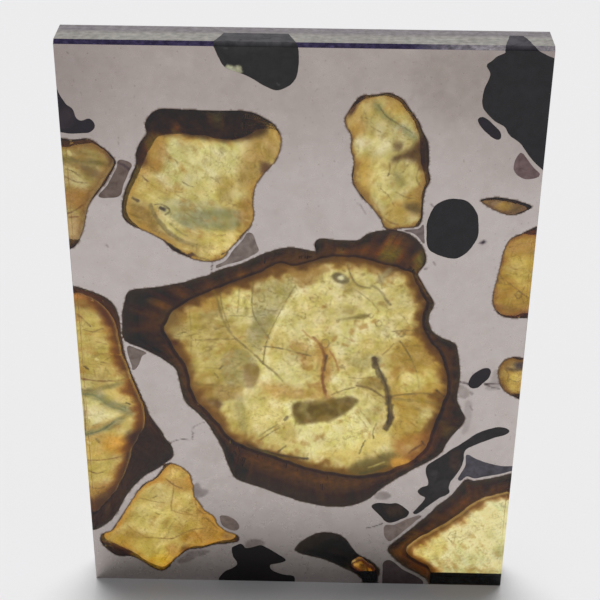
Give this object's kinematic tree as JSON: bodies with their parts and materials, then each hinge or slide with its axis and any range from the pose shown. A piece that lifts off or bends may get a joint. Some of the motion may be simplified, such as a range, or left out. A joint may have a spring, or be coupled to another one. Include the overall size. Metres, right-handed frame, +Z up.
{
  "type": "pallasite meteorite slice",
  "caption": "Thin rectangular cut slice of a stony-iron meteorite, metal set with see-through olivine crystals, standing on its flat lower edge.",
  "frame": {"origin": "middle of the flat lower edge, at the height of the surface it stands on", "axes": "+Z up along the tall edge, +X to the right as seen from the front, and the polished front face looks towards -Y"},
  "size_m": [0.05, 0.0044, 0.07],
  "materials": {
    "nickel_iron": "polished and lightly etched natural nickel-iron, grey with faint mottling",
    "olivine": "polished see-through olivine, honey yellow to pale yellow-green, brown at the rims",
    "dark_olivine": "polished near-black olivine with a dull gloss",
    "troilite": "grey iron sulphide with a half-matt polish"
  },
  "bodies": {
    "root": {"nickel_iron_slice": "nickel_iron", "olivine_centre": "olivine", "olivine_upper_left": "olivine", "olivine_upper_middle": "olivine", "olivine_left_upper": "olivine", "olivine_left_edge": "olivine", "olivine_bottom_left": "olivine", "olivine_bottom_right": "olivine", "olivine_right_edge": "olivine", "olivine_bottom_middle": "olivine", "olivine_right_small": "olivine", "olivine_lens": "olivine", "dark_olivine_top": "dark_olivine", "dark_olivine_top_right": "dark_olivine", "dark_olivine_small_oval": "dark_olivine", "dark_olivine_round": "dark_olivine", "dark_olivine_right_oval": "dark_olivine", "dark_olivine_left": "dark_olivine", "dark_olivine_bottom": "dark_olivine", "dark_olivine_lower": "dark_olivine", "dark_olivine_vein": "dark_olivine", "troilite_upper_left": "troilite", "troilite_middle_left": "troilite", "troilite_middle_right": "troilite", "troilite_right": "troilite", "troilite_left": "troilite", "troilite_lower_right": "troilite", "troilite_lower": "troilite", "troilite_bottom_left": "troilite", "troilite_bottom": "troilite"}
  },
  "joints": []
}
